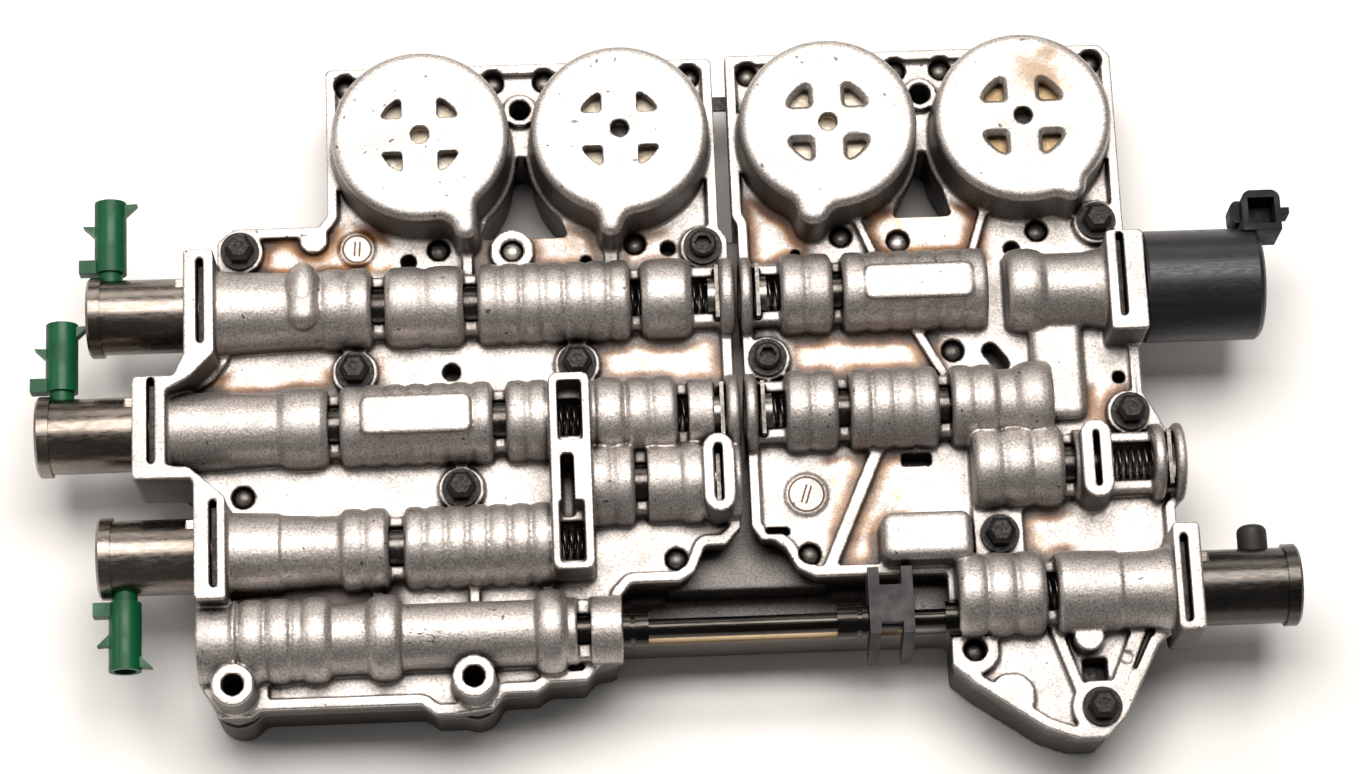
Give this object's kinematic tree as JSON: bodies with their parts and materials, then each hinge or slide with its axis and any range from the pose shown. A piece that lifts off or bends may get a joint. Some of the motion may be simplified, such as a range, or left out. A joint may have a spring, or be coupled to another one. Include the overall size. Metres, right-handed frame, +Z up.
{
  "type": "transmission valve body",
  "caption": "Automatic transmission valve body: cast housings with ringed spool barrels and round accumulator caps, plug-in solenoids, sliding manual valve and sprung spools.",
  "frame": {"origin": "on the bottom face of the channel plate, on the line where the two housings meet", "axes": "+X along the valve rows towards the pressure solenoid, +Y towards the accumulator caps, +Z up from the bottom face"},
  "size_m": [0.3927, 0.2248, 0.0525],
  "materials": {
    "cast_aluminium": "bead-blasted die casting",
    "channel_aluminium": "darker die casting",
    "separator_steel": "thin dark sheet",
    "black_bolt_steel": "black oxide",
    "black_screw_steel": "black oxide",
    "can_steel": "plated and worn",
    "dark_can_steel": "dark plated",
    "green_plastic": "moulded",
    "grey_plastic": "moulded",
    "satin_black_steel": "satin",
    "black_plastic": "moulded",
    "retainer_steel": "stamped",
    "plug_steel": "turned",
    "clip_steel": "stamped",
    "spool_steel": "ground",
    "spring_steel": "wound",
    "black_valve_steel": "ground, oil dark",
    "fork_plastic": "moulded",
    "piston_aluminium": "turned"
  },
  "bodies": {
    "valve_body": {"left_valve_housing": "cast_aluminium", "right_valve_housing": "cast_aluminium", "channel_plate": "channel_aluminium", "separator_plate": "separator_steel", "mounting_bolts": "black_bolt_steel", "assembly_screws": "black_screw_steel", "solenoid_can_1": "can_steel", "solenoid_can_2": "can_steel", "solenoid_can_3": "can_steel", "solenoid_can_4": "dark_can_steel", "solenoid_connector_1": "green_plastic", "solenoid_connector_2": "green_plastic", "solenoid_connector_3": "green_plastic", "solenoid_connector_4": "grey_plastic", "pressure_solenoid_can": "satin_black_steel", "pressure_solenoid_connector": "black_plastic", "solenoid_retainers": "retainer_steel", "bore_plugs": "plug_steel", "plug_clips": "clip_steel", "spring_a_left": "spring_steel", "spring_b_left": "spring_steel", "spring_b_centre": "spring_steel", "spring_b_short": "spring_steel", "spring_c_left": "spring_steel", "spring_a_right": "spring_steel", "spring_b_right": "spring_steel", "spring_c_right": "spring_steel", "spring_d_right": "spring_steel", "accumulator_spring_1": "spring_steel", "accumulator_spring_2": "spring_steel", "accumulator_spring_3": "spring_steel", "accumulator_spring_4": "spring_steel"},
    "spool_a_left_body": {"spool_a_left": "spool_steel"},
    "spool_b_left_body": {"spool_b_left": "spool_steel"},
    "spool_b_centre_body": {"spool_b_centre": "spool_steel"},
    "spool_b_short_body": {"spool_b_short": "spool_steel"},
    "spool_c_left_body": {"spool_c_left": "spool_steel"},
    "spool_a_right_body": {"spool_a_right": "spool_steel"},
    "spool_b_right_body": {"spool_b_right": "spool_steel"},
    "spool_c_right_body": {"spool_c_right": "spool_steel"},
    "spool_d_right_body": {"spool_d_right": "spool_steel"},
    "manual_valve_body": {"manual_valve": "black_valve_steel", "selector_fork": "fork_plastic"},
    "accumulator_piston_1_body": {"accumulator_piston_1": "piston_aluminium"},
    "accumulator_piston_2_body": {"accumulator_piston_2": "piston_aluminium"},
    "accumulator_piston_3_body": {"accumulator_piston_3": "piston_aluminium"},
    "accumulator_piston_4_body": {"accumulator_piston_4": "piston_aluminium"}
  },
  "joints": [
    {"name": "spool_a_left_slide", "type": "slide", "parent": "valve_body", "child": "spool_a_left_body", "axis": [1, 0, 0], "range_m": [0, 0.004], "stiffness_N_per_m": 600, "springref_m": -0.004, "deforming": ["spring_a_left"]},
    {"name": "spool_b_left_slide", "type": "slide", "parent": "valve_body", "child": "spool_b_left_body", "axis": [1, 0, 0], "range_m": [0, 0.004], "stiffness_N_per_m": 600, "springref_m": -0.004, "deforming": ["spring_b_left"]},
    {"name": "spool_b_centre_slide", "type": "slide", "parent": "valve_body", "child": "spool_b_centre_body", "axis": [1, 0, 0], "range_m": [0, 0.003], "stiffness_N_per_m": 600, "springref_m": -0.004, "deforming": ["spring_b_centre"]},
    {"name": "spool_b_short_slide", "type": "slide", "parent": "valve_body", "child": "spool_b_short_body", "axis": [1, 0, 0], "range_m": [0, 0.003], "stiffness_N_per_m": 600, "springref_m": -0.004, "deforming": ["spring_b_short"]},
    {"name": "spool_c_left_slide", "type": "slide", "parent": "valve_body", "child": "spool_c_left_body", "axis": [1, 0, 0], "range_m": [0, 0.004], "stiffness_N_per_m": 600, "springref_m": -0.004, "deforming": ["spring_c_left"]},
    {"name": "spool_a_right_slide", "type": "slide", "parent": "valve_body", "child": "spool_a_right_body", "axis": [1, 0, 0], "range_m": [-0.004, 0], "stiffness_N_per_m": 600, "springref_m": 0.004, "deforming": ["spring_a_right"]},
    {"name": "spool_b_right_slide", "type": "slide", "parent": "valve_body", "child": "spool_b_right_body", "axis": [1, 0, 0], "range_m": [-0.004, 0], "stiffness_N_per_m": 600, "springref_m": 0.004, "deforming": ["spring_b_right"]},
    {"name": "spool_c_right_slide", "type": "slide", "parent": "valve_body", "child": "spool_c_right_body", "axis": [1, 0, 0], "range_m": [0, 0.004], "stiffness_N_per_m": 600, "springref_m": -0.004, "deforming": ["spring_c_right"]},
    {"name": "spool_d_right_slide", "type": "slide", "parent": "valve_body", "child": "spool_d_right_body", "axis": [1, 0, 0], "range_m": [-0.003, 0], "stiffness_N_per_m": 600, "springref_m": 0.004, "deforming": ["spring_d_right"]},
    {"name": "manual_valve_slide", "type": "slide", "parent": "valve_body", "child": "manual_valve_body", "axis": [1, 0, 0], "range_m": [-0.024, 0.008]},
    {"name": "accumulator_piston_1_slide", "type": "slide", "parent": "valve_body", "child": "accumulator_piston_1_body", "axis": [0, 0, 1], "range_m": [-0.006, 0], "stiffness_N_per_m": 3000, "springref_m": 0.005, "deforming": ["accumulator_spring_1"]},
    {"name": "accumulator_piston_2_slide", "type": "slide", "parent": "valve_body", "child": "accumulator_piston_2_body", "axis": [0, 0, 1], "range_m": [-0.006, 0], "stiffness_N_per_m": 3000, "springref_m": 0.005, "deforming": ["accumulator_spring_2"]},
    {"name": "accumulator_piston_3_slide", "type": "slide", "parent": "valve_body", "child": "accumulator_piston_3_body", "axis": [0, 0, 1], "range_m": [-0.006, 0], "stiffness_N_per_m": 3000, "springref_m": 0.005, "deforming": ["accumulator_spring_3"]},
    {"name": "accumulator_piston_4_slide", "type": "slide", "parent": "valve_body", "child": "accumulator_piston_4_body", "axis": [0, 0, 1], "range_m": [-0.006, 0], "stiffness_N_per_m": 3000, "springref_m": 0.005, "deforming": ["accumulator_spring_4"]}
  ]
}
